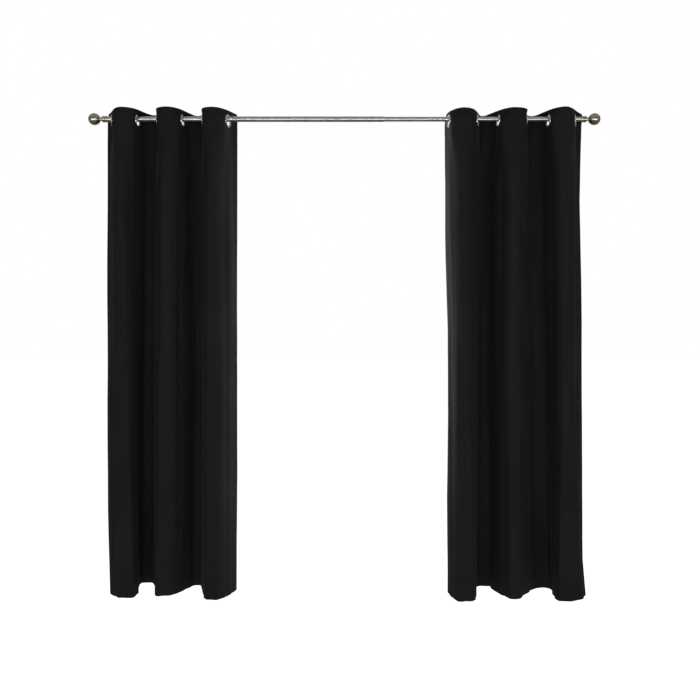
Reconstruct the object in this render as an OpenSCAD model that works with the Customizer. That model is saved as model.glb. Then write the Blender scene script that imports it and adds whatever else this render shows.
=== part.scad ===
// Pair of grommet-top curtain panels on a telescoping rod with ball finials.
// X runs along the rod, -Y is the room side and +Z is up. The origin lies on the wall
// face, level with the rod's axis and midway between the two wall brackets.

/* [Rod] */
// Distance between the two outer ends of the telescoped tubes
rod_l = 2130; // [2100:10:2300]
// Length of each of the two tubes
tube_l = 1240; // [1180:10:1300]
// Outside diameter of the outer tube
outer_tube_d = 24; // [23.6:0.1:25]
// Outside diameter of the inner tube
inner_tube_d = 21; // [19:0.5:21]
// Wall thickness of the inner tube
inner_wall = 1; // [0.8:0.1:1.2]
// Distance from the wall face to the rod's axis
projection = 100; // [95:1:130]

/* [Finials] */
// Diameter of the ball
ball_d = 52; // [50:1:60]
// Distance from the tube's end to the ball's centre
ball_offset = 47; // [45:1:52]
// Diameter of the turned neck under the ball
neck_d = 15; // [13:1:18]
// Largest diameter of the collar over the tube's end
collar_d = 27.5; // [27:0.5:30]
// Length of the collar
collar_l = 23; // [20:1:26]
// Depth of the groove between the collar's two beads
collar_groove = 0.8; // [0.4:0.1:0.8]

/* [Brackets] */
// Distance from the middle of the rod to each bracket
bracket_x = 975; // [970:1:985]
// Vertical distance between a bracket's two screw holes
screw_spacing = 60; // [50:1:70]
// Diameter of a screw hole
screw_hole_d = 5.5; // [4:0.5:6]
// Width of the wall plate
plate_w = 26; // [22:1:30]
// Thickness of the wall plate
plate_t = 3; // [2:0.5:4]
// Diameter of the arm
arm_d = 12; // [10:1:14]
// Width of the saddle along the rod
saddle_w = 16; // [14:1:20]
// Wall thickness of the saddle
saddle_t = 3.5; // [3:0.5:4]

/* [Grommets] */
// Outside diameter of a grommet ring
ring_d = 56; // [56:1:60]
// Diameter of the hole through a grommet
ring_bore_d = 40; // [38:1:42]
// Height of the dome on the front half
ring_dome = 3; // [2:0.5:3.5]
// Height of the dome on the back half
ring_back_dome = 2; // [1.5:0.5:2.5]

/* [Cloth] */
// Height of a panel from top edge to hem
panel_h = 2134; // [2000:1:2200]
// Height of the top edge above the rod's axis
header_h = 39; // [38:1:45]
// Thickness of the cloth
cloth_t = 1.2; // [0.8:0.2:1.4]
// Length of cloth between an edge grommet's centre and the panel's side edge
edge_l = 71; // [64:0.5:76]
// Depth of a front fold from the rod's axis at the top edge
front_fold_top = 54; // [50:1:58]
// Depth of a back fold from the rod's axis at the top edge
back_fold_top = 72; // [66:1:74]
// Depth of a front fold at the hem
front_fold_hem = 80; // [72:1:88]
// Depth of a back fold at the hem
back_fold_hem = 84; // [78:1:90]

/* [Hidden] */
// The left panel's grommets, from its outer edge inwards: place along the rod and the
// angle at which the cloth crosses the rod.
left_ring_x = [-1033, -920, -832, -720, -631, -518];
left_cross = [74, 88, 80, 88, 80, 78];
// Where each of the left panel's folds, front and back by turns, is deepest.
left_fold_x = [-982, -871, -780, -666, -581];
// The angle at which each of the left panel's side edges ends, outer edge first.
left_edge = [5, 28];
// The same for the right panel.
right_ring_x = [1027, 908, 811, 685, 593, 465];
right_cross = [68, 88, 75, 86, 72, 85];
right_fold_x = [971, 852, 746, 630, 525];
right_edge = [-4, 79];

fine = 64;
small = 32;
run_gap = 0.05;       // radial gap of a screw or stud in its hole
slide_gap = 0.2;      // radial gap of a loose part over a tube
tube_gap = 0.3;       // radial gap between the two tubes
lip_gap = 0.06;       // radial gap under the outer tube's necked mouth
lip_l = 3;

outer_r = outer_tube_d / 2;
inner_r = inner_tube_d / 2;
outer_bore_r = inner_r + tube_gap;
inner_bore_r = inner_r - inner_wall;
outer_x0 = -rod_l / 2;
inner_x0 = rod_l / 2 - tube_l;
plug_l = 25;
stud_r = 3;
glide_l = 15;
glide_flange = 4;

collar_cap = 12;                      // solid end of the collar, beyond the tube
collar_split = 0;                     // where the beads meet, from the tube's end
ball_bore = 35;                       // distance from tube end to the blind hole's end
neck_x = collar_cap;                  // where the neck meets the collar

hole_r = screw_hole_d / 2;
arm_r = arm_d / 2;
flange_t = 4;
flange_r = 11;
saddle_lip = 6;                       // height of the saddle's lips above the rod's axis
thumb_r = 6;
thumb_h = 7;
thumb_drop = 4;                       // gap between saddle and thumb head
screw_r = 2.5;
knurls = 16;
knurl_r = 0.7;

ring_r = ring_d / 2;
bore_r = ring_bore_d / 2;
barrel_t = 1.2;
fold_in = 1.4;                        // how far the barrel is turned out past the cloth
ring_z = outer_r + slide_gap - bore_r;
flat_r = ring_r + 1;                  // the cloth is flat this far from a ring's centre
band_z = ring_z - ring_r - 6;         // below this height the folds deepen
hem_z = header_h - panel_h;
hem_cross = 64;                       // angle at which the cloth crosses at the hem
fold_gap = 0.4;                       // half the gap between neighbouring pleats
curve_steps = 8;
flat_steps = 2;
roundness = 0.6;                      // fullness of a fold's curve, 0 for a chamfer

metal = [0.72, 0.70, 0.67];
dark_metal = [0.55, 0.52, 0.49];
silver = [0.80, 0.80, 0.79];
black_cloth = [0.09, 0.09, 0.10];
nylon = [0.85, 0.85, 0.82];

// Turns a shape drawn along +Z so that it runs along +X on the rod's axis, from x0.
module along_rod(x0) {
  translate([x0, -projection, 0]) rotate([0, 90, 0]) children();
}

// Turns a shape drawn at a right-hand tube end so that it fits the end on either side.
module at_tube_end(side) {
  translate([side * rod_l / 2, -projection, 0]) rotate([0, side * 90, 0]) children();
}

// The outer tube, with a mouth necked in to guide the inner tube.
module outer_tube() {
  color(metal) along_rod(outer_x0) difference() {
    cylinder(h = tube_l, r = outer_r, $fn = fine);
    translate([0, 0, -1]) cylinder(h = tube_l - lip_l + 1, r = outer_bore_r, $fn = fine);
    translate([0, 0, -1]) cylinder(h = tube_l + 2, r = inner_r + lip_gap, $fn = fine);
  }
}

module inner_tube() {
  color(metal) along_rod(inner_x0) difference() {
    cylinder(h = tube_l, r = inner_r, $fn = fine);
    translate([0, 0, -1]) cylinder(h = tube_l + 2, r = inner_bore_r, $fn = fine);
  }
}

// The bush on the inner tube's hidden end, which runs in the outer tube.
module tube_glide() {
  color(nylon) along_rod(inner_x0) {
    cylinder(h = glide_l, r = inner_bore_r, $fn = fine);
    translate([0, 0, -glide_flange]) cylinder(h = glide_flange, r = outer_bore_r - run_gap, $fn = fine);
  }
}

// The insert pressed into a tube's end, which the finial's stud screws into.
module tube_plug(side, bore) {
  color(nylon) at_tube_end(side) difference() {
    translate([0, 0, -plug_l]) cylinder(h = plug_l, r = bore, $fn = fine);
    translate([0, 0, -plug_l - 1]) cylinder(h = plug_l + 2, r = stud_r + run_gap, $fn = fine);
  }
}

// Ball and turned neck in one piece, with a blind hole for the stud.
module finial_ball(side) {
  color(dark_metal) at_tube_end(side) difference() {
    union() {
      translate([0, 0, ball_offset]) sphere(d = ball_d, $fn = fine);
      translate([0, 0, neck_x]) cylinder(h = ball_offset - neck_x, r = neck_d / 2, $fn = fine);
    }
    translate([0, 0, neck_x - 1]) cylinder(h = ball_bore - neck_x + 1, r = stud_r, $fn = fine);
  }
}

// Points of a bead's outline between two heights, which rises from its foot to a radius.
function bead(low, high, r, rise) = [
  for (turn = [0 : 20 : 180])
    [r - rise + rise * sin(turn), (low + high) / 2 - (high - low) / 2 * cos(turn)]
];

// The cap that covers the tube's end, turned as two beads, with a hole for the stud.
module finial_collar(side, tube_r) {
  low = collar_cap - collar_l;
  crest = collar_d / 2;
  color(metal) at_tube_end(side) difference() {
    rotate_extrude($fn = fine) polygon(concat(
      [[0, low]],
      bead(low, collar_split - 0.5, crest, collar_groove),
      bead(collar_split + 0.5, collar_cap - 1.5, crest, collar_groove),
      [[crest - collar_groove - 1.5, collar_cap], [0, collar_cap]]
    ));
    translate([0, 0, low - 1])
      cylinder(h = collar_l - collar_cap + 1 + slide_gap, r = tube_r + slide_gap, $fn = fine);
    translate([0, 0, -1]) cylinder(h = collar_cap + 2, r = stud_r, $fn = fine);
  }
}

module finial_stud(side) {
  color(dark_metal) at_tube_end(side)
    translate([0, 0, 3 - plug_l]) cylinder(h = ball_bore + plug_l - 3, r = stud_r, $fn = fine);
}

// The wall plate: a flat bar with round ends and two screw holes.
module bracket_plate(side) {
  end_r = plate_w / 2;
  color(metal) translate([side * bracket_x, 0, 0]) rotate([90, 0, 0]) difference() {
    union() {
      translate([-end_r, -screw_spacing / 2, 0]) cube([plate_w, screw_spacing, plate_t]);
      for (end = [-1, 1]) translate([0, end * screw_spacing / 2, 0])
        cylinder(h = plate_t, r = end_r, $fn = fine);
    }
    for (end = [-1, 1]) translate([0, end * screw_spacing / 2, -1])
      cylinder(h = plate_t + 2, r = hole_r, $fn = fine);
  }
}

// The round arm with its base flange, cut to sit against the saddle's back.
module bracket_arm(side, tube_r) {
  color(metal) translate([side * bracket_x, 0, 0]) difference() {
    rotate([90, 0, 0]) {
      translate([0, 0, plate_t]) cylinder(h = projection - plate_t, r = arm_r, $fn = fine);
      translate([0, 0, plate_t]) cylinder(h = flange_t, r = flange_r, $fn = fine);
    }
    translate([-saddle_w, -projection, 0]) rotate([0, 90, 0])
      cylinder(h = 2 * saddle_w, r = tube_r + slide_gap + saddle_t, $fn = fine);
  }
}

// The open-topped cup that the rod lies in, with a hole below for the set screw.
module bracket_saddle(side, tube_r) {
  cup_r = tube_r + slide_gap;
  reach = cup_r + saddle_t;
  color(metal) translate([side * bracket_x, -projection, 0]) difference() {
    translate([-saddle_w / 2, 0, 0]) rotate([0, 90, 0]) cylinder(h = saddle_w, r = reach, $fn = fine);
    translate([-saddle_w, 0, 0]) rotate([0, 90, 0]) cylinder(h = 2 * saddle_w, r = cup_r, $fn = fine);
    translate([-saddle_w, -2 * reach, saddle_lip]) cube([2 * saddle_w, 4 * reach, reach]);
    translate([0, 0, -reach - 1]) cylinder(h = reach, r = screw_r + run_gap, $fn = small);
  }
}

// The knurled thumb screw that clamps the tube in its saddle from below.
module set_screw(side, tube_r) {
  head_z = -(tube_r + slide_gap + saddle_t + thumb_drop);
  color(silver) translate([side * bracket_x, -projection, 0]) {
    translate([0, 0, head_z]) cylinder(h = -head_z - tube_r - run_gap, r = screw_r, $fn = small);
    translate([0, 0, head_z - thumb_h]) difference() {
      cylinder(h = thumb_h, r = thumb_r, $fn = small);
      for (turn = [0 : 360 / knurls : 359]) rotate(turn) translate([thumb_r, 0, -1])
        cylinder(h = thumb_h + 2, r = knurl_r, $fn = 16);
    }
  }
}

// Places a ring drawn about +Z, front upwards, on the cloth where it crosses the rod.
// The pleat is drawn for a left panel and mirrored for a right one.
module at_ring(side, x, cross) {
  translate([x, -projection, ring_z]) mirror([side > 0 ? 1 : 0, 0, 0])
    rotate([0, 0, cross]) rotate([90, 0, 0]) children();
}

// Points of a dome's outline between two radii, at a height above the cloth.
function dome(r0, r1, base, height) = [
  for (turn = [0 : 15 : 180])
    [(r0 + r1) / 2 + (r1 - r0) / 2 * cos(turn), base + height * sin(turn)]
];

// The front half: a domed flange and the barrel that goes through the cloth.
module grommet_front(side, x, cross) {
  color(silver) at_ring(side, x, cross) rotate_extrude($fn = fine) polygon(concat(
    dome(bore_r, ring_r, cloth_t / 2, ring_dome),
    [
      [bore_r, -cloth_t / 2 - fold_in],
      [bore_r + barrel_t, -cloth_t / 2 - fold_in],
      [bore_r + barrel_t, cloth_t / 2]
    ]
  ));
}

// The back half: a domed washer that snaps over the barrel.
module grommet_back(side, x, cross) {
  washer_r = bore_r + barrel_t + run_gap;
  color(silver) at_ring(side, x, cross) mirror([0, 0, 1]) rotate_extrude($fn = fine)
    polygon(dome(washer_r, ring_r, cloth_t / 2, ring_back_dome));
}

// A point on a cubic curve from p to q, leaving along angle a and arriving along angle b.
function curve(p, q, a, b, t) =
  let (
    reach = roundness * (b == 0 ? (q - p)[0] : norm(q - p) / 2),
    lift = roundness * (b == 0 ? (q - p)[1] / sin(a) : norm(q - p) / 2),
    p1 = p + lift * [cos(a), sin(a)],
    q1 = q - reach * [cos(b), sin(b)]
  )
  pow(1 - t, 3) * p + 3 * pow(1 - t, 2) * t * p1 + 3 * (1 - t) * t * t * q1 + t * t * t * q;

// Half of a pleat in plan: straight across the ring, then curving to the fold's end.
function half_pleat(flat, cross, end, end_angle) =
  let (start = flat * [cos(cross), sin(cross)])
  concat(
    [for (i = [1 : flat_steps]) start * i / flat_steps],
    [for (i = [1 : curve_steps]) curve(start, end, cross, end_angle, i / curve_steps)]
  );

// The end of a half pleat that meets the next pleat at a fold this far off and this deep.
function fold_end(distance, depth) = [distance - fold_gap, depth];

// The end of a half pleat that stops at the panel's side edge.
function edge_end(cross, edge) =
  let (mean = (cross + edge) / 2)
  flat_r * [cos(cross), sin(cross)] + (edge_l - flat_r) * [cos(mean), sin(mean)];

// A whole pleat in plan about its ring, for a left panel, from outer end to inner end.
// forward is 1 where the cloth runs towards the room on its way inwards, else -1.
function pleat_path(outward, inward, forward) = [
  for (i = [len(outward) - 1 : -1 : 0]) [-outward[i][0], forward * outward[i][1]],
  [0, 0],
  for (p = inward) [p[0], -forward * p[1]]
];

// Unit normal of a path at point i.
function normal(path, i) =
  let (d = path[min(i + 1, len(path) - 1)] - path[max(i - 1, 0)])
  [-d[1], d[0]] / norm(d);

// The four points of a pleat's wall, front and back, at each height.
function wall_points(path, z) = [
  for (i = [0 : len(path) - 1], s = [-1, 1])
    let (p = path[i] + s * cloth_t / 2 * normal(path, i)) [p[0], p[1], z]
];

// A wall that follows three plans: at the top edge, at the band below the rings, at the hem.
module wall(top, hem) {
  n = len(top);
  row = 2 * n;
  points = concat(wall_points(hem, hem_z), wall_points(top, band_z), wall_points(top, header_h));
  faces = concat(
    [for (l = [0, 1], i = [0 : n - 2], s = [0, 1], half = [0, 1])
      let (
        a = l * row + 2 * i + s,
        b = a + 2,
        c = b + row,
        d = a + row,
        tri = half == 0 ? [a, b, c] : [a, c, d]
      )
      s == 0 ? [tri[2], tri[1], tri[0]] : tri],
    [for (l = [0, 1], e = [0, n - 1], half = [0, 1])
      let (
        a = l * row + 2 * e,
        tri = half == 0 ? [a, a + 1, a + 1 + row] : [a, a + 1 + row, a + row]
      )
      e == 0 ? [tri[2], tri[1], tri[0]] : tri],
    [for (i = [0 : n - 2], half = [0, 1])
      let (a = 2 * i) half == 0 ? [a, a + 2, a + 3] : [a, a + 3, a + 1]],
    [for (i = [0 : n - 2], half = [0, 1])
      let (a = 2 * row + 2 * i) half == 0 ? [a, a + 3, a + 2] : [a, a + 1, a + 3]]
  );
  polyhedron(points = points, faces = faces);
}

// Pleat k of a panel, counted from 0 at the outer edge, around its grommet's barrel.
module pleat(side, k, ring_x, fold_x, cross, edge) {
  a = cross[k];
  forward = k % 2 == 0 ? 1 : -1;
  depth_top = forward > 0 ? [back_fold_top, front_fold_top] : [front_fold_top, back_fold_top];
  depth_hem = forward > 0 ? [back_fold_hem, front_fold_hem] : [front_fold_hem, back_fold_hem];
  first = k == 0;
  last = k == len(ring_x) - 1;
  outer_x = first ? 0 : abs(fold_x[k - 1] - ring_x[k]);
  inner_x = last ? 0 : abs(fold_x[k] - ring_x[k]);
  outer_top = first ? edge_end(a, edge[0]) : fold_end(outer_x, depth_top[0]);
  inner_top = last ? edge_end(a, edge[1]) : fold_end(inner_x, depth_top[1]);
  outer_hem = first ? outer_top : fold_end(outer_x, depth_hem[0]);
  inner_hem = last ? inner_top : fold_end(inner_x, depth_hem[1]);
  outer_angle = first ? edge[0] : 0;
  inner_angle = last ? edge[1] : 0;
  top = pleat_path(
    half_pleat(flat_r, a, outer_top, outer_angle),
    half_pleat(flat_r, a, inner_top, inner_angle),
    forward
  );
  hem = pleat_path(
    half_pleat(flat_r / 2, hem_cross, outer_hem, outer_angle),
    half_pleat(flat_r / 2, hem_cross, inner_hem, inner_angle),
    forward
  );
  color(black_cloth) difference() {
    translate([ring_x[k], -projection, 0]) mirror([side > 0 ? 1 : 0, 0, 0]) wall(top, hem);
    at_ring(side, ring_x[k], -forward * a) translate([0, 0, -ring_r / 2])
      cylinder(h = ring_r, r = bore_r + barrel_t + run_gap, $fn = fine);
  }
}

module left_grommet_front(k) {
  grommet_front(-1, left_ring_x[k], k % 2 == 0 ? -left_cross[k] : left_cross[k]);
}

module left_grommet_back(k) {
  grommet_back(-1, left_ring_x[k], k % 2 == 0 ? -left_cross[k] : left_cross[k]);
}

module right_grommet_front(k) {
  grommet_front(1, right_ring_x[k], k % 2 == 0 ? -right_cross[k] : right_cross[k]);
}

module right_grommet_back(k) {
  grommet_back(1, right_ring_x[k], k % 2 == 0 ? -right_cross[k] : right_cross[k]);
}

module left_pleat(k) {
  pleat(-1, k, left_ring_x, left_fold_x, left_cross, left_edge);
}

module right_pleat(k) {
  pleat(1, k, right_ring_x, right_fold_x, right_cross, right_edge);
}

outer_tube();
inner_tube();
tube_glide();
tube_plug(-1, outer_bore_r);  // left_tube_plug
tube_plug(1, inner_bore_r);  // right_tube_plug
finial_ball(-1);  // left_finial_ball
finial_collar(-1, outer_r);  // left_finial_collar
finial_stud(-1);  // left_finial_stud
finial_ball(1);  // right_finial_ball
finial_collar(1, inner_r);  // right_finial_collar
finial_stud(1);  // right_finial_stud
bracket_plate(-1);  // left_bracket_plate
bracket_arm(-1, outer_r);  // left_bracket_arm
bracket_saddle(-1, outer_r);  // left_bracket_saddle
set_screw(-1, outer_r);  // left_set_screw
bracket_plate(1);  // right_bracket_plate
bracket_arm(1, inner_r);  // right_bracket_arm
bracket_saddle(1, inner_r);  // right_bracket_saddle
set_screw(1, inner_r);  // right_set_screw
left_grommet_front(0);  // left_grommet_1_front
left_grommet_back(0);  // left_grommet_1_back
left_grommet_front(1);  // left_grommet_2_front
left_grommet_back(1);  // left_grommet_2_back
left_grommet_front(2);  // left_grommet_3_front
left_grommet_back(2);  // left_grommet_3_back
left_grommet_front(3);  // left_grommet_4_front
left_grommet_back(3);  // left_grommet_4_back
left_grommet_front(4);  // left_grommet_5_front
left_grommet_back(4);  // left_grommet_5_back
left_grommet_front(5);  // left_grommet_6_front
left_grommet_back(5);  // left_grommet_6_back
right_grommet_front(0);  // right_grommet_1_front
right_grommet_back(0);  // right_grommet_1_back
right_grommet_front(1);  // right_grommet_2_front
right_grommet_back(1);  // right_grommet_2_back
right_grommet_front(2);  // right_grommet_3_front
right_grommet_back(2);  // right_grommet_3_back
right_grommet_front(3);  // right_grommet_4_front
right_grommet_back(3);  // right_grommet_4_back
right_grommet_front(4);  // right_grommet_5_front
right_grommet_back(4);  // right_grommet_5_back
right_grommet_front(5);  // right_grommet_6_front
right_grommet_back(5);  // right_grommet_6_back
left_pleat(0);  // left_pleat_1
left_pleat(1);  // left_pleat_2
left_pleat(2);  // left_pleat_3
left_pleat(3);  // left_pleat_4
left_pleat(4);  // left_pleat_5
left_pleat(5);  // left_pleat_6
right_pleat(0);  // right_pleat_1
right_pleat(1);  // right_pleat_2
right_pleat(2);  // right_pleat_3
right_pleat(3);  // right_pleat_4
right_pleat(4);  // right_pleat_5
right_pleat(5);  // right_pleat_6
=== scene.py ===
"""Grommet-top curtain panels on a telescoping rod: the looks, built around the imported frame.

Lengths are in metres. A panel is worked out in plan as if it hung on the left, from its outer
edge inwards, and a right-hand panel is the mirror image of such a plan.
"""

import math

import bpy
import numpy as np
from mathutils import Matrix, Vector


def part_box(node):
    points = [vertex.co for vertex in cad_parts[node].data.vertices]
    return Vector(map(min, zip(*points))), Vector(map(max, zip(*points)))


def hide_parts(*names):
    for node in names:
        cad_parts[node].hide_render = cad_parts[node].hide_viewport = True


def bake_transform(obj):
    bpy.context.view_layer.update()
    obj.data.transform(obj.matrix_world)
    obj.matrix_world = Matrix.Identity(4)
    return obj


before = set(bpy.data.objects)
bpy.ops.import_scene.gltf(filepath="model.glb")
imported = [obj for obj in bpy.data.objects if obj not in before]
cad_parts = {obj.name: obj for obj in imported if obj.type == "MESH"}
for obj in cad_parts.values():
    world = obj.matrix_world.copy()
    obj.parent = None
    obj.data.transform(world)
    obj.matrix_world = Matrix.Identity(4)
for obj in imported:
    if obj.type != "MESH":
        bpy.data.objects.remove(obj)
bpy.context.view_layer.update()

# --------------------------------------------------------------------------- the frame's places

ROD_LOW, ROD_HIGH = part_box("outer_tube")
ROD_Y = (ROD_LOW.y + ROD_HIGH.y) / 2
RING_LOW, RING_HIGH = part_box("left_grommet_1_front")
RING_Z = (RING_LOW.z + RING_HIGH.z) / 2
RING_R = (RING_HIGH.z - RING_LOW.z) / 2
PLEAT_LOW, PLEAT_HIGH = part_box("left_pleat_1")
HEADER_Z = PLEAT_HIGH.z
HEM_Z = PLEAT_LOW.z

# --------------------------------------------------------------------------- the cloth's make

RINGS = 6
RING_PITCH = 0.185  # cloth between two grommets' centres
EDGE = 0.071  # cloth between an edge grommet's centre and the side edge
RING_MARKS = [EDGE + k * RING_PITCH for k in range(RINGS)]  # the grommets' centres, across the cloth
PANEL_W = (RINGS - 1) * RING_PITCH + 2 * EDGE
HEADER_TURN = 0.098
HEADER_SEAM = HEADER_Z - HEADER_TURN
HEM_TURN = 0.076
SIDE_HEM = 0.026
HALF_PLAIN = 0.00042  # half the thickness of the single cloth
HALF_HEADER = 0.0006
HEM_STEP = 0.0009  # what a hem adds behind the cloth
FLAT = 0.029  # the cloth lies flat this far from a grommet's centre
HOLE_R = 0.0238
STITCH = 0.0034
STITCH_BODY = 0.3  # from a stitch's middle to where it starts to taper, as a share of its pitch
STITCH_TIP = 0.47  # and to its tip
STITCH_MARGIN = 0.004  # a seam starts and stops this far from the cloth's edges
THREAD_R = 0.00024
BAND_Z = RING_Z - 0.036  # the folds begin to relax below this height

# What a grommet's two halves add up to is not centred on the cloth.
RING_SHIFT = 0.0005

# Depth of the folds in front of and behind the rod's axis, at the top edge.
FRONT_FOLD = 0.054
BACK_FOLD = 0.072
BODY_DEPTH = 1.06  # how much deeper the folds are where they have rounded out
BODY_SLACK = 16  # degrees by which the cloth there crosses the rod less squarely
BODY_CROSS = 84  # the most that it crosses by before that is taken off
BODY_FLAT = 0.004  # half-length of the straight part of the cloth at a grommet: in the body,
RIM_FLAT = 0.006  # and at the top edge

SLACK_FADE = 0.22  # height over which the folds round out below the grommets
HEM_SHARE_POWER = 0.85  # under 1, the plan turns into the hem's sooner on the way down
DRIFT_REACH = 0.16  # cloth over which the drift of a side edge dies away
RIPPLE_FADE = 0.35  # height over which the ripples grow below the band

# Shallow waves in the hanging cloth: height, then how fast they run across and down the cloth in
# radians to a metre, then where they start.
WAVES = (
    (0.0013, 23.0, 1.9, 0.0),
    (0.0013, 41.0, -2.7, 1.3),
    (0.0015, 67.0, 2.1, 2.2),
    (0.0012, 104.0, -1.3, 0.7),
    (0.0007, 171.0, 1.1, 4.0),
    (0.0003, 260.0, -1.9, 5.2),
    (0.0004, 15.0, 11.0, 3.1),
)
FAN = 0.0011  # height of the wrinkles that fan out below each grommet
FAN_FADE = 0.16  # they fade over this height
FAN_SPREAD = 0.45  # and widen by this much for each metre down

# The marks that sewing and packing leave: their widths, their heights or depths, and how fast the
# puckers run along a seam in radians to a metre.
SEAM_RAMP, GROOVE_W, PUCKER_W, SIDE_PUCKER_W, CREASE_W = 0.0016, 0.0011, 0.012, 0.010, 0.0032
PUCKER, CREASE, FRONT_GROOVE, BACK_GROOVE = 0.00035, 0.0008, 0.00025, 0.0003
PUCKER_RATE, SIDE_PUCKER_RATE = 410, 330

# Spacing of the mesh's columns, and of its rows in the header, in the body and in the hem.
COLUMN, HEADER_ROW, BODY_ROW, HEM_ROW = 0.0059, 0.0042, 0.0135, 0.009
EDGE_LINE = 0.0008  # a line of the mesh lies this far inside each edge of the cloth
SEAM_LINES = (-0.0016, -0.0005, 0.0005, 0.0016)  # and these follow a seam
CREASE_LINES = (-0.007, -0.0035, 0, 0.0035, 0.007)
MESH_GAP = 0.0003  # lines closer than this become one
HOLE_ZONE = 0.036  # columns this near a grommet's centre may move on to its hole

# Plans are in millimetres: along the rod, behind its axis, then the cloth's heading in degrees.
# "rim" is the top edge: side edge, grommet, fold and so on to the other side edge. "hem" also has
# the half-length of a straight part. "cross" is how squarely the cloth crosses the rod at each
# grommet, "folds" where the folds between them lie, and "edge" the side edges' headings.
# "drop" is how far the hem hangs below the frame's pleats, and "sag" how much lower it is at the
# inner edge. The drifts are (height, shift inwards) of a side edge, and "creases" the heights of
# creases from packing, all in metres. "phase" shifts the ripples.
PANELS = {
    "left": {
        "inward": 1,
        "body": "rod",
        "cross": (74, 88, 80, 88, 80, 78),
        "folds": (-982, -871, -780, -666, -581),
        "edge": (5, 28),
        "rim": (
            (-1070, 56, -50),
            (-1032, 0, -60),
            (-978, -52, 0),
            (-910, 0, 68),
            (-866, 68, 0),
            (-835, 0, -88),
            (-775, -55, 0),
            (-716, 0, 66),
            (-670, 78, 0),
            (-634, 0, -88),
            (-577, -52, 0),
            (-517, 0, 60),
            (-488, 58, 62),
        ),
        "drop": 0.0015,
        "sag": 0.006,
        "hem": (
            (-1040, -17, -54, 0),
            (-1000, -65, -38, 4),
            (-952, -79, 0, 26),
            (-918, 4, 103, 22),
            (-912, 84, 0, 12),
            (-849, 22, -70, 20),
            (-800, -61, 4, 10),
            (-714, 2, 61, 18),
            (-668, 56, 0, 10),
            (-628, -10, -76, 14),
            (-574, -88, 0, 14),
            (-510, -42, 54, 14),
            (-488, 24, 72, 0),
        ),
        "outer_drift": ((0, 0), (-0.5, -0.005), (-1.3, -0.007), (-1.75, -0.006), (-2.1, 0.004)),
        "inner_drift": ((0, 0), (-1.0, 0.003), (-1.6, 0.004), (-2.1, 0.002)),
        "creases": (-0.287, -0.362, -0.98, -1.54),
        "phase": 0.4,
    },
    "right": {
        "inward": -1,
        "body": "inner_rod",
        "cross": (68, 88, 75, 86, 72, 85),
        "folds": (-971, -852, -746, -630, -525),
        "edge": (-4, 79),
        "rim": (
            (-1076, 52, -38),
            (-1030, 0, -52),
            (-968, -56, 0),
            (-905, 0, 64),
            (-857, 80, 0),
            (-813, 0, -86),
            (-745, -47, 0),
            (-686, 0, 57),
            (-630, 79, 0),
            (-585, 0, -62),
            (-527, -44, 0),
            (-476, 0, 62),
            (-462, 60, 84),
        ),
        "drop": 0.0135,
        "sag": 0.0,
        "hem": (
            (-1058, -24, -50, 0),
            (-1020, -64, -30, 6),
            (-958, -84, 2, 22),
            (-924, -14, 98, 24),
            (-888, 56, -6, 10),
            (-820, 8, -50, 22),
            (-745, -62, 0, 14),
            (-684, 2, 63, 18),
            (-643, 76, 0, 16),
            (-587, 0, -80, 22),
            (-520, -86, 0, 22),
            (-468, -38, 62, 14),
            (-459, 6, 84, 0),
        ),
        "outer_drift": (
            (0, 0),
            (-0.22, 0.008),
            (-0.36, 0.012),
            (-0.9, 0.007),
            (-1.5, 0.006),
            (-1.95, 0.004),
            (-2.1, -0.009),
        ),
        "inner_drift": ((0, 0), (-0.5, 0.001), (-0.95, -0.007), (-1.3, -0.007), (-1.7, -0.001)),
        "creases": (-0.202, -0.71, -1.27),
        "phase": 2.1,
    },
}

# --------------------------------------------------------------------------- materials


def principled(name, **values):
    """A new material with a Principled shader. Values are socket names with _ for spaces."""
    made = bpy.data.materials.new(name)
    made.use_nodes = True
    shader = made.node_tree.nodes["Principled BSDF"]
    for socket, value in values.items():
        shader.inputs[socket.replace("_", " ")].default_value = value
    return made, made.node_tree, shader


def add(tree, kind, values=(), **settings):
    """A new node with its settings, and the values of its inputs by number or name."""
    made = tree.nodes.new(kind)
    for name, value in settings.items():
        setattr(made, name, value)
    for socket, value in dict(values).items():
        made.inputs[socket].default_value = value
    return made


def math_node(tree, operation, first, second=None, third=None):
    """A Math node. Each operand is a number or an output socket."""
    made = tree.nodes.new("ShaderNodeMath")
    made.operation = operation
    for i, operand in enumerate(o for o in (first, second, third) if o is not None):
        if isinstance(operand, (int, float)):
            made.inputs[i].default_value = operand
        else:
            tree.links.new(operand, made.inputs[i])
    return made.outputs[0]


def stretched_noise(tree, coordinates, stretch, detail=2.0, roughness=0.5):
    """Noise whose grain is 1/stretch metres along each axis."""
    mapping = add(tree, "ShaderNodeMapping")
    mapping.inputs["Scale"].default_value = stretch
    tree.links.new(coordinates, mapping.inputs["Vector"])
    noise = add(tree, "ShaderNodeTexNoise", {"Scale": 1.0, "Detail": detail, "Roughness": roughness})
    tree.links.new(mapping.outputs["Vector"], noise.inputs["Vector"])
    return noise.outputs["Fac"]


def ramp(tree, factor, low, high, start=0.0, end=1.0):
    """A colour that runs from low to high as factor runs from start to end."""
    made = tree.nodes.new("ShaderNodeValToRGB")
    stops = made.color_ramp.elements
    stops[0].position, stops[0].color = start, (*low, 1)
    stops[1].position, stops[1].color = end, (*high, 1)
    tree.links.new(factor, made.inputs["Fac"])
    return made.outputs["Color"]


def bump(tree, height, distance, strength=1.0, under=None):
    """A Bump node over another one's normal."""
    made = add(tree, "ShaderNodeBump", {"Strength": strength, "Distance": distance})
    tree.links.new(height, made.inputs["Height"])
    if under is not None:
        tree.links.new(under, made.inputs["Normal"])
    return made.outputs["Normal"]


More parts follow.
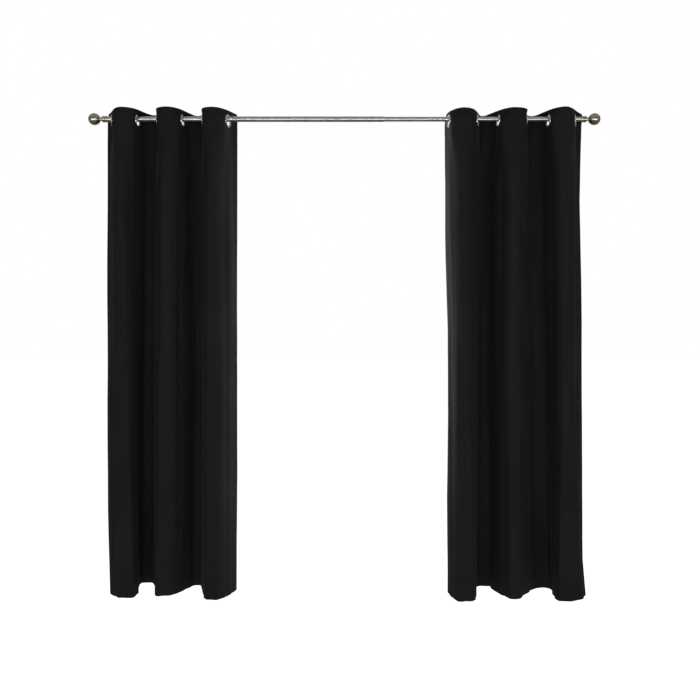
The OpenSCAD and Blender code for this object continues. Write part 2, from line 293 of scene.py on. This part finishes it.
def blackout_cloth():
    """Black triple-weave polyester: a fine satin weave, slubs, soft mottling and rubbed patches of
    varying roughness.
    """
    made, tree, shader = principled(
        "blackout_cloth",
        Roughness=0.78,
        Specular_IOR_Level=0.10,
        Sheen_Weight=0.02,
        Sheen_Roughness=0.42,
    )
    uv = add(tree, "ShaderNodeUVMap", uv_map="cloth").outputs["UV"]
    parts = add(tree, "ShaderNodeSeparateXYZ")
    tree.links.new(uv, parts.inputs["Vector"])
    across, down = parts.outputs["X"], parts.outputs["Y"]
    warp_pitch, weft_pitch = 0.00042, 0.00055
    warp = math_node(tree, "SINE", math_node(tree, "MULTIPLY", across, 2 * math.pi / warp_pitch))
    weft = math_node(tree, "SINE", math_node(tree, "MULTIPLY", down, 2 * math.pi / weft_pitch))
    weave = math_node(tree, "MULTIPLY_ADD", warp, 0.5, math_node(tree, "MULTIPLY", weft, 0.35))
    slub = stretched_noise(tree, uv, (1500, 22, 1), 2.0, 0.6)
    weft_slub = stretched_noise(tree, uv, (14, 1100, 1), 2.0, 0.6)
    mottle = stretched_noise(tree, uv, (9, 4, 1), 3.0, 0.55)
    wear = stretched_noise(tree, uv, (70, 45, 1), 3.0, 0.6)
    tone = math_node(tree, "MULTIPLY_ADD", slub, 0.30, math_node(tree, "MULTIPLY", weft_slub, 0.25))
    tone = math_node(tree, "MULTIPLY_ADD", mottle, 0.45, tone)
    colour = ramp(tree, tone, (0.0039, 0.0039, 0.0043), (0.0080, 0.0080, 0.0087), 0.32, 0.68)
    tree.links.new(colour, shader.inputs["Base Color"])
    rough = math_node(tree, "MULTIPLY_ADD", wear, 0.16, 0.70)
    tree.links.new(rough, shader.inputs["Roughness"])
    normal = bump(tree, wear, 0.0006, 0.5)
    normal = bump(tree, math_node(tree, "ADD", slub, weft_slub), 0.00012, 0.5, normal)
    normal = bump(tree, weave, 0.00004, 0.6, normal)
    tree.links.new(normal, shader.inputs["Normal"])
    return made


def sewing_thread():
    """Black polyester thread, twisted, a little glossier than the cloth."""
    made, tree, shader = principled(
        "sewing_thread", Roughness=0.5, Specular_IOR_Level=0.35, Sheen_Weight=0.1
    )
    place = add(tree, "ShaderNodeTexCoord").outputs["Object"]
    twist = stretched_noise(tree, place, (2600, 2600, 2600), 1.0)
    colour = ramp(tree, twist, (0.010, 0.010, 0.011), (0.026, 0.026, 0.028))
    tree.links.new(colour, shader.inputs["Base Color"])
    tree.links.new(bump(tree, twist, 0.00005), shader.inputs["Normal"])
    return made


def brushed_metal(name, dark, light, roughness, brush, grain_depth=0.000006, patina_share=0.55):
    """Metal with a fine brushed grain and a soft patina.

    brush is how many grains there are to a metre, per axis."""
    made, tree, shader = principled(name, Metallic=1.0, Roughness=roughness)
    place = add(tree, "ShaderNodeTexCoord").outputs["Object"]
    grain = stretched_noise(tree, place, brush, 3.0, 0.65)
    patina = stretched_noise(tree, place, (38, 55, 55), 2.0, 0.5)
    grain_tone = math_node(tree, "MULTIPLY", grain, 1 - patina_share)
    tone = math_node(tree, "MULTIPLY_ADD", patina, patina_share, grain_tone)
    tree.links.new(ramp(tree, tone, dark, light, 0.35, 0.65), shader.inputs["Base Color"])
    grain_spread = 0.18
    patina_spread = grain_spread * patina_share
    rough = math_node(tree, "MULTIPLY_ADD", grain, grain_spread, roughness - grain_spread / 2)
    rough = math_node(tree, "SUBTRACT", rough, patina_spread / 2)
    rough = math_node(tree, "MULTIPLY_ADD", patina, patina_spread, rough)
    tree.links.new(rough, shader.inputs["Roughness"])
    tree.links.new(bump(tree, grain, grain_depth, 0.7), shader.inputs["Normal"])
    return made


def moulded_nylon():
    """Natural white nylon with a finely pitted skin."""
    made, tree, shader = principled("moulded_nylon", Roughness=0.45, Subsurface_Weight=0.05)
    place = add(tree, "ShaderNodeTexCoord").outputs["Object"]
    pits = stretched_noise(tree, place, (900, 900, 900), 3.0)
    colour = ramp(tree, pits, (0.62, 0.62, 0.58), (0.74, 0.74, 0.70))
    tree.links.new(colour, shader.inputs["Base Color"])
    tree.links.new(bump(tree, pits, 0.00005, 0.4), shader.inputs["Normal"])
    return made


CLOTH = blackout_cloth()
THREAD = sewing_thread()
NICKEL = brushed_metal("brushed_nickel", (0.44, 0.42, 0.39), (0.58, 0.56, 0.53), 0.30, (2600, 40, 40))
FINIAL = brushed_metal(
    "satin_nickel",
    (0.36, 0.33, 0.27),
    (0.50, 0.46, 0.385),
    0.28,
    (1800, 60, 60),
    grain_depth=0.000001,
    patina_share=0.15,
)
SILVER = brushed_metal(
    "satin_silver",
    (0.72, 0.72, 0.71),
    (0.84, 0.84, 0.83),
    0.26,
    (500, 900, 900),
    grain_depth=0.000003,
)
ZINC = brushed_metal("zinc_plate", (0.52, 0.52, 0.52), (0.70, 0.70, 0.69), 0.36, (600, 600, 1200))
NYLON = moulded_nylon()

NODE_MATERIALS = (
    ("grommet", SILVER),
    ("finial", FINIAL),
    ("bracket", NICKEL),
    ("set_screw", ZINC),
    ("plug", NYLON),
    ("glide", NYLON),
    ("tube", NICKEL),
)


def dress(obj, *materials):
    """Gives a mesh these material slots and no others."""
    obj.data.materials.clear()
    for made in materials:
        obj.data.materials.append(made)


for node_name, node_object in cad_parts.items():
    for key, node_material in NODE_MATERIALS:
        if key in node_name:
            dress(node_object, node_material)
            break

# --------------------------------------------------------------------------- the cloth in plan


def heading(angle):
    """Unit vector in plan at an angle in degrees."""
    return np.array([math.cos(math.radians(angle)), math.sin(math.radians(angle))])


def bridge(p, q, a, b, roundness=0.6, steps=24):
    """Points of a cubic from p to q that leaves along heading a and arrives along heading b."""
    da, db, chord = heading(a), heading(b), q - p
    length = np.linalg.norm(chord)
    turn = da[0] * db[1] - da[1] * db[0]
    reach_a = reach_b = length / 2
    if abs(turn) > 0.1:
        reach_a = (chord[0] * db[1] - chord[1] * db[0]) / turn
        reach_b = (da[0] * chord[1] - da[1] * chord[0]) / turn
    shortest, longest = 0.3 * length, 1.2 * length
    reach_a, reach_b = (min(max(reach, shortest), longest) for reach in (reach_a, reach_b))
    p1, q1 = p + roundness * reach_a * da, q - roundness * reach_b * db
    t = np.linspace(0, 1, steps + 1)[1:, None]
    return (1 - t) ** 3 * p + 3 * (1 - t) ** 2 * t * p1 + 3 * (1 - t) * t * t * q1 + t**3 * q


def through(knots):
    """A smooth plan through knots of (place, heading, straight half-length).

    Returns its points, and the number of the point where each knot lies."""
    points, marks = [knots[0][0]], [0]
    for (p, a, flat_a), (q, b, flat_b) in zip(knots, knots[1:]):
        start, end = p + flat_a * heading(a), q - flat_b * heading(b)
        if flat_a:
            points.append(start)
        points.extend(bridge(start, end, a, b))
        if flat_b:
            points.append(q)
        marks.append(len(points) - 1)
    return np.array(points), marks


def run_length(points):
    """Length along a plan, at each of its points."""
    steps = np.linalg.norm(np.diff(points, axis=0), axis=1)
    return np.concatenate([[0], np.cumsum(steps)])


def ring_centre(side, number):
    """Where the middle of a grommet lies along the rod, on the cloth's mid-plane."""
    panel = PANELS[side]
    lows, highs = zip(*(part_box(f"{side}_grommet_{number}_{half}") for half in ("front", "back")))
    middle = (min(p.x for p in lows) + max(p.x for p in highs)) / 2
    faces = -1 if number % 2 else 1
    tilt = math.sin(math.radians(panel["cross"][number - 1]))
    return panel["inward"] * middle - faces * RING_SHIFT * tilt


def cloth_marks():
    """Distances across the cloth of a plan's knots: edge, grommet, fold, grommet and so on."""
    inner = [EDGE + k * RING_PITCH / 2 for k in range(2 * RINGS - 1)]
    return [0.0] + inner + [PANEL_W]


def marked_plan(knots):
    """A plan through knots whose places in the cloth are known: (cloth, points)."""
    points, marks = through(knots)
    run = run_length(points)
    return np.interp(run, run[marks], cloth_marks()), points


def top_plan(side, centres):
    """The plan level with the grommets, which hold the cloth straight."""
    panel = PANELS[side]
    cross, edge = panel["cross"], panel["edge"]
    outer, inner = (
        FLAT * heading(cross[i]) + (EDGE - FLAT) * heading((cross[i] + edge[i]) / 2) for i in (0, -1)
    )
    knots = [(np.array([centres[0] - outer[0], outer[1]]), -edge[0], 0)]
    for k, centre in enumerate(centres):
        towards_room = k % 2 == 0
        knots.append((np.array([centre, 0.0]), cross[k] * (-1 if towards_room else 1), FLAT))
        if k + 1 < RINGS:
            depth = -FRONT_FOLD if towards_room else BACK_FOLD
            knots.append((np.array([panel["folds"][k] / 1000, depth]), 0, 0))
    knots.append((np.array([centres[-1] + inner[0], inner[1]]), edge[1], 0))
    return marked_plan(knots)


def body_plan(side, centres):
    """The plan a little below the grommets, where the folds round out."""
    panel = PANELS[side]
    top = top_plan(side, centres)
    knots = []
    for k, mark in enumerate(cloth_marks()):
        place = at(top, np.array(mark))
        if k in (0, 2 * RINGS):
            reach = 0.01
            near = min(mark, PANEL_W - reach)
            before, after = at(top, np.array([near, near + reach]))
            step = after - before
            knots.append((place, math.degrees(math.atan2(step[1], step[0])), 0))
        elif k % 2:
            cross = min(panel["cross"][k // 2], BODY_CROSS) - BODY_SLACK
            knots.append((place, -cross if k % 4 == 1 else cross, BODY_FLAT))
        else:
            knots.append((place * (1, BODY_DEPTH), 0, 0))
    return marked_plan(knots)


def rim_plan(side):
    """The plan of the top edge, free of the grommets and so rounder."""
    knots = [
        (np.array([x, y]) / 1000, angle, RIM_FLAT if k % 2 else 0)
        for k, (x, y, angle) in enumerate(PANELS[side]["rim"])
    ]
    return marked_plan(knots)


def hem_plan(side):
    """The plan at the hem, with the cloth spread evenly along it."""
    knots = [
        (np.array([x, y]) / 1000, angle, flat / 1000) for x, y, angle, flat in PANELS[side]["hem"]
    ]
    points, _ = through(knots)
    run = run_length(points)
    return run * PANEL_W / run[-1], points


def at(plan, cloth):
    """Points of a plan at these distances from the outer edge of the cloth."""
    return np.stack([np.interp(cloth, plan[0], plan[1][:, i]) for i in (0, 1)], axis=-1)


def steps_between(low, high, spacing):
    """Evenly spaced values from low to high, both included."""
    return list(np.linspace(low, high, max(2, round(abs(high - low) / spacing) + 1)))


def merged(values):
    """Sorted values, leaving out those too close to the one before."""
    kept = []
    for value in sorted(values):
        if not kept or value - kept[-1] > MESH_GAP:
            kept.append(value)
    return np.array(kept)


def with_lines(values, place, offsets, clear):
    """Values with those nearer than clear to a place replaced by lines at offsets from it."""
    return [v for v in values if abs(v - place) > clear] + [place + d for d in offsets]


def columns():
    """Distances across the cloth of the mesh's columns, with one on each grommet's centre."""
    values = steps_between(0, EDGE, COLUMN) + steps_between(RING_MARKS[-1], PANEL_W, COLUMN)
    for a, b in zip(RING_MARKS, RING_MARKS[1:]):
        values += steps_between(a, b, COLUMN)
    for seam in (SIDE_HEM, PANEL_W - SIDE_HEM):
        values = with_lines(values, seam, SEAM_LINES, 0.0035)
    return merged(values + [EDGE_LINE, PANEL_W - EDGE_LINE])


def hem_height(side):
    """Height of a panel's bottom edge, before it sags."""
    return HEM_Z - PANELS[side]["drop"]


def rows(side):
    """Heights of the mesh's rows, close together where there is a grommet, a seam or a crease."""
    hem = hem_height(side)
    hem_seam = hem + HEM_TURN
    header_end, hem_start = HEADER_SEAM - 0.01, hem_seam + 0.02
    values = steps_between(HEADER_Z, header_end, HEADER_ROW)
    values += steps_between(header_end, hem_start, BODY_ROW)
    values += steps_between(hem_start, hem, HEM_ROW)
    for seam in (HEADER_SEAM, hem_seam):
        values = with_lines(values, seam, SEAM_LINES, 0.003)
    for crease in PANELS[side]["creases"]:
        values = with_lines(values, crease, CREASE_LINES, 0.008)
    return merged(values + [HEADER_Z - EDGE_LINE, hem + EDGE_LINE])[::-1]


# --------------------------------------------------------------------------- the cloth in space


def smooth(t):
    """An S-curve from 0 at t = 0 to 1 at t = 1, and level beyond both."""
    t = np.clip(t, 0, 1)
    return t * t * (3 - 2 * t)


def from_ring(cloth):
    """Distance across the cloth to the nearest grommet's centre."""
    return np.min([np.abs(cloth - mark) for mark in RING_MARKS], axis=0)


def ripple(cloth, z, phase):
    """Shallow irregular waves in the hanging cloth, in metres, out along its normal."""
    total = np.zeros_like(cloth)
    for height, across, down, turn in WAVES:
        sway = 0.8 * np.sin(1.7 * down * z + turn + phase)
        total += height * np.sin(across * cloth + down * z + turn + phase * across / 20 + sway)
    total *= smooth((BAND_Z - z) / RIPPLE_FADE)
    # The weight drags the cloth into slanting wrinkles that fan out below each grommet.
    below = BAND_Z - z
    depth = np.clip(below, 0, None)
    fan = FAN * smooth(below / 0.05) * np.exp(-depth / FAN_FADE)
    for k, mark in enumerate(RING_MARKS):
        lean = (cloth - mark) / (0.05 + FAN_SPREAD * depth)
        total += fan * bell(lean, 1.3) * np.sin(5.2 * lean + 1.7 * k + phase + 6 * below)
    return total


def surface(side, plans, cloth, z):
    """Mid-surface points of the panel, in the row frame, for arrays of cloth and height."""
    panel = PANELS[side]
    top, rim, body, hem = plans
    bottom = hem_height(side)
    held = RING_Z + np.sqrt(np.clip(RING_R**2 - from_ring(cloth) ** 2, 0, None))
    lean = smooth((z - held) / (HEADER_Z - held))[..., None]
    share = (np.clip((BAND_Z - z) / (BAND_Z - bottom), 0, 1) ** HEM_SHARE_POWER)[..., None]
    slack = smooth((RING_Z - RING_R - z) / SLACK_FADE)[..., None]
    plan = (1 - lean) * at(top, cloth) + lean * at(rim, cloth)
    plan = (1 - slack) * plan + slack * at(body, cloth)
    plan = (1 - share) * plan + share * at(hem, cloth)
    for name, distance in (("outer_drift", cloth), ("inner_drift", PANEL_W - cloth)):
        heights, drifts = zip(*sorted(panel[name]))
        plan[..., 0] += np.interp(z, heights, drifts) * smooth(1 - distance / DRIFT_REACH)
    height = z - panel["sag"] * share[..., 0] ** 2 * smooth(2 * cloth / PANEL_W - 1)
    return np.stack([panel["inward"] * plan[..., 0], ROD_Y + plan[..., 1], height], axis=-1)


def unit_normals(points, inward):
    """Normals of a grid of points, on the side that faces the room at a front fold."""
    down = np.gradient(points, axis=0)
    across = np.gradient(points, axis=1)
    normals = np.cross(across, down) * -inward
    return normals / np.linalg.norm(normals, axis=-1, keepdims=True)


def bell(distance, width):
    """1 at no distance, falling away to nothing over a few widths."""
    return np.exp(-((distance / width) ** 2))


def relief(side, cloth, z):
    """What seams, hems and creases add to the front and take from the back, in metres."""
    bottom = hem_height(side)
    hem_seam = bottom + HEM_TURN
    in_side = np.minimum(cloth, PANEL_W - cloth)
    header = smooth((z - HEADER_SEAM) / SEAM_RAMP + 0.5)
    side_hem = smooth((SIDE_HEM - in_side) / SEAM_RAMP + 0.5)
    bottom_hem = smooth((hem_seam - z) / SEAM_RAMP + 0.5)
    hemmed = np.maximum(side_hem, bottom_hem) * (1 - header)
    half = HALF_PLAIN + (HALF_HEADER - HALF_PLAIN) * header
    groove = np.maximum(bell(z - HEADER_SEAM, GROOVE_W), bell(z - hem_seam, GROOVE_W))
    groove = np.maximum(groove, bell(in_side - SIDE_HEM, GROOVE_W))
    pucker = np.maximum(bell(z - HEADER_SEAM, PUCKER_W), bell(z - hem_seam, PUCKER_W))
    pucker *= np.sin(PUCKER_RATE * cloth + 3 * z)
    side_pucker = 0.5 * bell(in_side - SIDE_HEM, SIDE_PUCKER_W)
    pucker += side_pucker * np.sin(SIDE_PUCKER_RATE * z + 2 * cloth)
    fold_mark = sum(
        bell(z - height, CREASE_W) * (0.6 + 0.4 * np.sin(9 * cloth + 40 * height))
        for height in PANELS[side]["creases"]
    )
    shift = PUCKER * pucker * (1 - header * 0.5) + CREASE * fold_mark
    rim = np.minimum(np.minimum(in_side, HEADER_Z - z), z - bottom)
    rounding = 0.45 + 0.55 * smooth(rim / EDGE_LINE)
    front = shift + (half - FRONT_GROOVE * groove) * rounding
    back = shift - (half + HEM_STEP * hemmed - BACK_GROOVE * groove) * rounding
    return front, back


def snap_to_hole(cloth, z, centre):
    """Cuts a round hole in a grid: which cells go, and the grid's corners moved on to the circle."""
    mid_cloth = (cloth[:-1, :-1] + cloth[1:, 1:]) / 2
    mid_z = (z[:-1, :-1] + z[1:, 1:]) / 2
    gone = np.hypot(mid_cloth - centre, mid_z - RING_Z) < HOLE_R
    touching = np.zeros(cloth.shape, int)
    cells = np.zeros(cloth.shape, int)
    for i in (0, 1):
        for j in (0, 1):
            part = (slice(i, cloth.shape[0] - 1 + i), slice(j, cloth.shape[1] - 1 + j))
            touching[part] += gone
            cells[part] += 1
    edge = (touching > 0) & (touching < cells)
    away = np.maximum(np.hypot(cloth - centre, z - RING_Z), 1e-6)
    scale = np.where(edge, HOLE_R / away, 1.0)
    return gone, centre + (cloth - centre) * scale, RING_Z + (z - RING_Z) * scale


def panel_grid(side):
    """The whole panel as a grid: cloth, height, front and back points, normals and cut cells."""
    panel = PANELS[side]
    centres = [ring_centre(side, n) for n in range(1, RINGS + 1)]
    plans = (top_plan(side, centres), rim_plan(side), body_plan(side, centres), hem_plan(side))
    across, down = columns(), rows(side)
    cloth, z = np.meshgrid(across, down)
    gone = np.zeros((cloth.shape[0] - 1, cloth.shape[1] - 1), bool)
    for mark in RING_MARKS:
        near = np.abs(cloth[0] - mark) < HOLE_ZONE
        first, last = np.flatnonzero(near)[[0, -1]]
        part = (slice(None), slice(first, last + 1))
        cut, cloth[part], z[part] = snap_to_hole(cloth[part], z[part], mark)
        gone[:, first:last] |= cut
    middle = surface(side, plans, cloth, z)
    normals = unit_normals(middle, panel["inward"])
    middle = middle + normals * ripple(cloth, z, panel["phase"])[..., None]
    front, back = relief(side, cloth, z)
    front_points = middle + normals * front[..., None]
    back_points = middle + normals * back[..., None]
    return {
        "across": across,
        "down": down,
        "cloth": cloth,
        "z": z,
        "front": front_points,
        "back": back_points,
        "front_normals": unit_normals(front_points, panel["inward"]),
        "back_normals": -unit_normals(back_points, panel["inward"]),
        "gone": gone,
        "centres": centres,
    }


class Shell:
    """Gathers a mesh: points, faces, a normal and a UV place for each face's corners."""

    def __init__(self):
        self.points, self.faces, self.normals, self.uvs, self.slots = [], [], [], [], []

    def face(self, corners, normals, uvs, slot=0):
        self.faces.append(corners)
        self.normals.extend(normals)
        self.uvs.extend(uvs)
        self.slots.append(slot)

    def made(self, name, *materials):
        mesh = bpy.data.meshes.new(name)
        mesh.from_pydata(self.points, [], self.faces)
        layer = mesh.uv_layers.new(name="cloth")
        layer.data.foreach_set("uv", np.array(self.uvs, np.float32).ravel())
        mesh.polygons.foreach_set("material_index", self.slots)
        mesh.polygons.foreach_set("use_smooth", [True] * len(self.faces))
        mesh.normals_split_custom_set(self.normals)
        obj = bpy.data.objects.new(name, mesh)
        bpy.context.scene.collection.objects.link(obj)
        dress(obj, *materials)
        return obj


def seams(side):
    """The panel's lines of stitching: header, bottom hem and two side hems, as (cloth, height)."""
    bottom = hem_height(side)
    for z in (HEADER_SEAM, bottom + HEM_TURN):
        cloth = np.arange(STITCH_MARGIN, PANEL_W - STITCH_MARGIN, STITCH)
        yield cloth, np.full_like(cloth, z)
    for place in (SIDE_HEM, PANEL_W - SIDE_HEM):
        z = np.arange(HEADER_SEAM - STITCH_MARGIN, bottom + STITCH_MARGIN, -STITCH)
        yield np.full_like(z, place), z


def on_face(grid, key, cloth, z):
    """Values of one of the grid's point or normal fields at arrays of cloth and height."""
    across, down = grid["across"], grid["down"]
    j = np.clip(np.searchsorted(across, cloth) - 1, 0, len(across) - 2)
    i = np.clip(np.searchsorted(-down, -z) - 1, 0, len(down) - 2)
    u = ((cloth - across[j]) / (across[j + 1] - across[j]))[:, None]
    v = ((z - down[i]) / (down[i + 1] - down[i]))[:, None]
    field = grid[key]
    upper = (1 - u) * field[i, j] + u * field[i, j + 1]
    lower = (1 - u) * field[i + 1, j] + u * field[i + 1, j + 1]
    return (1 - v) * upper + v * lower


def stitch(shell, grid, seam, low, high):
    """Adds one seam's thread to a shell, both faces, for the cloth from low to high."""
    cloth, z = (values[(seam[0] >= low) & (seam[0] < high)] for values in seam)
    if len(cloth) < 2:
        return
    for face in ("front", "back"):
        middles = on_face(grid, face, cloth, z)
        normals = on_face(grid, face + "_normals", cloth, z)
        normals /= np.linalg.norm(normals, axis=1, keepdims=True)
        along = np.gradient(middles, axis=0)
        along /= np.linalg.norm(along, axis=1, keepdims=True)
        sides = np.cross(along, normals)
        turns = (0, math.pi / 2, math.pi, -math.pi / 2)
        round_ways = [math.cos(t) * normals + math.sin(t) * sides for t in turns]
        centre = middles + 0.5 * THREAD_R * normals
        loops, tips = [], []
        for end in (-STITCH, STITCH):
            taper = centre + end * STITCH_BODY * along
            loops.append([taper + THREAD_R * way for way in round_ways])
            tips.append(centre + end * STITCH_TIP * along - THREAD_R * normals)
        for n in range(len(cloth)):
            base = len(shell.points)
            shell.points += [tuple(tips[0][n]), tuple(tips[1][n])]
            shell.points += [tuple(loop[w][n]) for loop in loops for w in range(4)]
            outs = [tuple(way[n]) for way in round_ways]
            ends = [tuple(-along[n]), tuple(along[n])]
            spot = (cloth[n], z[n])
            for w in range(4):
                x = (w + 1) % 4
                a, b, c, d = base + 2 + w, base + 2 + x, base + 6 + x, base + 6 + w
                shell.face([a, b, c, d], [outs[w], outs[x], outs[x], outs[w]], [spot] * 4, 1)
                shell.face([base, b, a], [ends[0], outs[x], outs[w]], [spot] * 3, 1)
                shell.face([base + 1, d, c], [ends[1], outs[w], outs[x]], [spot] * 3, 1)


def strip(side, grid, first, last, name):
    """The piece of a panel between two of the grid's columns, as a closed thin shell."""
    inward = PANELS[side]["inward"]
    part = (slice(None), slice(first, last + 1))
    cloth, z = grid["cloth"][part], grid["z"][part]
    gone = grid["gone"][:, first:last]
    n_rows, n_columns = cloth.shape
    shell = Shell()
    number = -np.ones((2, n_rows, n_columns), int)
    kept = ~gone
    used = np.zeros((n_rows, n_columns), bool)
    for i in (0, 1):
        for j in (0, 1):
            used[i : n_rows - 1 + i, j : n_columns - 1 + j] |= kept
    for layer, key in enumerate(("front", "back")):
        points = grid[key][part]
        for i, j in zip(*np.nonzero(used)):
            number[layer, i, j] = len(shell.points)
            shell.points.append(tuple(points[i, j]))
    faces_normals = (grid["front_normals"][part], grid["back_normals"][part])
    for i, j in zip(*np.nonzero(kept)):
        corners = [(i, j), (i + 1, j), (i + 1, j + 1), (i, j + 1)]
        for layer in (0, 1):
            order = corners if (layer == 0) == (inward == 1) else corners[::-1]
            shell.face(
                [number[layer, a, b] for a, b in order],
                [tuple(faces_normals[layer][a, b]) for a, b in order],
                [(cloth[a, b], z[a, b]) for a, b in order],
            )
        open_sides = (
            (j == 0 or gone[i, j - 1], corners[0], corners[1]),
            (i == n_rows - 2 or gone[i + 1, j], corners[1], corners[2]),
            (j == n_columns - 2 or gone[i, j + 1], corners[2], corners[3]),
            (i == 0 or gone[i - 1, j], corners[3], corners[0]),
        )
        for is_open, p, q in open_sides:
            if is_open:
                ring = [(0, *p), (1, *p), (1, *q), (0, *q)]
                if inward != 1:
                    ring = ring[::-1]
                spots = [Vector(shell.points[number[c]]) for c in ring]
                normal = (spots[1] - spots[0]).cross(spots[2] - spots[1])
                normal = normal.normalized() if normal.length > 1e-12 else Vector((0, 0, 1))
                uvs = [(cloth[c[1:]], z[c[1:]]) for c in ring]
                shell.face([number[c] for c in ring], [tuple(normal)] * 4, uvs)
    for seam in seams(side):
        stitch(shell, grid, seam, cloth[0, 0], cloth[0, -1])
    return shell.made(name, CLOTH, THREAD)


def hang_panel(side):
    """Builds a panel as strips between grommets, and hides the frame's pleats that each strip stands
    for.
    """
    grid = panel_grid(side)
    across = grid["cloth"][0]
    ends = [int(np.argmin(np.abs(across - mark))) for mark in RING_MARKS]
    for k in range(RINGS - 1):
        is_last = k == RINGS - 2
        first = 0 if k == 0 else ends[k]
        last = len(across) - 1 if is_last else ends[k + 1]
        piece = strip(side, grid, first, last, f"{side}_cloth_{k + 1}")
        stood_for = [f"{side}_pleat_{k + 1}"] + ([f"{side}_pleat_{RINGS}"] if is_last else [])
        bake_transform(piece)
        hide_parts(*stood_for)


# --------------------------------------------------------------------------- camera and studio

PX = 0.00445  # metres to a picture element at the rod, in a picture 700 wide
CAMERA_DISTANCE = 2.87
CAMERA_X = 0.025
CAMERA_DROP = 0.892  # the camera's height below the rod's axis
SENSOR = 36.0
PICTURE = 700
HORIZON_RISE = 30.3 / PICTURE  # how far the horizon lies above the picture's middle

# How bright each side of the room that shows in the metal is.
ROOM_ABOVE, ROOM_BELOW, ROOM_SIDES = 0.38, 0.14, 0.20
ROOM_FRONT, ROOM_BACK, ROOM_WINDOW = 0.06, 0.06, 0.90
FLOOR_DEPTH = 0.62  # the white floor's depth below the hem

# Lights: name, place, what it points at, width, height, watts and what it shines in.
LIGHTS = (
    ("band", (0, -3.4, -0.95), (0, ROD_Y, -0.95), 8.8, 0.45, 120, "metal"),
    ("front", (-0.4, -3.6, -0.6), (0, ROD_Y, -1.0), 2.0, 2.6, 65, "cloth"),
    ("right", (2.4, -2.8, -0.8), (0, ROD_Y, -1.0), 0.8, 2.6, 21, "cloth"),
    ("above", (0, ROD_Y - 0.6, 2.6), (0, ROD_Y, -1.0), 3.0, 1.6, 16, "cloth"),
    ("middle_left", (0, ROD_Y + 0.16, -1.0), (-0.5, ROD_Y, -1.0), 0.3, 2.2, 13, "cloth"),
    ("middle_right", (0, ROD_Y + 0.20, -0.7), (0.5, ROD_Y, -0.7), 0.2, 1.5, 26, "cloth"),
)


def make_camera():
    """A level camera with a shifted picture, from below the rod."""
    data = bpy.data.cameras.new("camera")
    data.sensor_width = SENSOR
    data.lens = SENSOR * CAMERA_DISTANCE / (PX * PICTURE)
    data.shift_y = -HORIZON_RISE
    data.clip_end = 100
    camera = bpy.data.objects.new("camera", data)
    camera.location = (CAMERA_X, ROD_Y - CAMERA_DISTANCE, -CAMERA_DROP)
    camera.rotation_euler = (math.radians(90), 0, 0)
    bpy.context.scene.collection.objects.link(camera)
    bpy.context.scene.camera = camera


def make_world():
    """A plain white surround."""
    world = bpy.data.worlds.new("studio")
    world.use_nodes = True
    shade = world.node_tree.nodes["Background"]
    shade.inputs["Color"].default_value = (1, 1, 1, 1)
    shade.inputs["Strength"].default_value = 1.0
    world.cycles_visibility.diffuse = False
    bpy.context.scene.world = world


def area_light(name, place, target, width, height, power, shines_in):
    """A soft light that is seen in the metal only, or in the cloth only."""
    data = bpy.data.lights.new(name, "AREA")
    data.shape = "RECTANGLE"
    data.size, data.size_y = width, height
    data.energy = power
    light = bpy.data.objects.new(name, data)
    light.location = place
    light.rotation_euler = (Vector(target) - Vector(place)).to_track_quat("-Z", "Y").to_euler()
    light.visible_camera = False
    light.visible_glossy = shines_in == "metal"
    light.visible_diffuse = shines_in == "cloth"
    bpy.context.scene.collection.objects.link(light)


def board(name, centre, width, depth, turn, material):
    """A flat rectangle, turned from facing up by angles in degrees about X and Y."""
    mesh = bpy.data.meshes.new(name)
    w, d = width / 2, depth / 2
    mesh.from_pydata([(-w, -d, 0), (w, -d, 0), (w, d, 0), (-w, d, 0)], [], [(0, 1, 2, 3)])
    mesh.materials.append(material)
    made = bpy.data.objects.new(name, mesh)
    made.location = centre
    made.rotation_euler = (math.radians(turn[0]), math.radians(turn[1]), 0)
    bpy.context.scene.collection.objects.link(made)
    return made


def glowing(name, colour, level):
    """An even tone that needs no light."""
    made, _, shader = principled(name, Base_Color=(0, 0, 0, 1), Roughness=1.0, Specular_IOR_Level=0.0)
    shader.inputs["Emission Color"].default_value = (*colour, 1)
    shader.inputs["Emission Strength"].default_value = level
    return made


def make_stage():
    """A plain white floor, and a dim room around the rod that only shows in its metal."""
    white, _, shader = principled("floor_white", Base_Color=(0.9, 0.9, 0.9, 1), Roughness=0.9)
    shader.inputs["Emission Color"].default_value = (1, 1, 1, 1)
    shader.inputs["Emission Strength"].default_value = 1.0
    board("floor", (0, 0, HEM_Z - FLOOR_DEPTH), 60, 60, (0, 0), white)
    low, high = HEM_Z - FLOOR_DEPTH + 0.02, 2.0
    middle, height = (low + high) / 2, high - low
    warm, cool = (1.0, 0.93, 0.84), (1.0, 0.99, 0.97)
    room = (
        ("room_above", (0, -1, high), 9, 8, (0, 0), cool, ROOM_ABOVE),
        ("room_below", (0, -1, low), 9, 8, (0, 0), warm, ROOM_BELOW),
        ("room_back", (0, 3, middle), 9, height, (90, 0), warm, ROOM_BACK),
        ("room_window", (0, 2.9, -0.4), 5.4, 3.2, (90, 0), cool, ROOM_WINDOW),
        ("room_front", (0, -5, middle), 9, height, (90, 0), warm, ROOM_FRONT),
        ("room_left", (-4.5, -1, middle), height, 8, (0, 90), warm, ROOM_SIDES),
        ("room_right", (4.5, -1, middle), height, 8, (0, 90), warm, ROOM_SIDES),
    )
    for name, centre, width, depth, turn, colour, level in room:
        wall = board(name, centre, width, depth, turn, glowing(name, colour, level))
        wall.visible_camera = False
        wall.visible_diffuse = False
        wall.visible_shadow = False
        wall.visible_transmission = False


def main():
    make_camera()
    make_world()
    make_stage()
    for light in LIGHTS:
        area_light(*light)
    for side in PANELS:
        hang_panel(side)
    settings = bpy.context.scene.view_settings
    settings.view_transform = "Standard"
    settings.look = "None"


main()
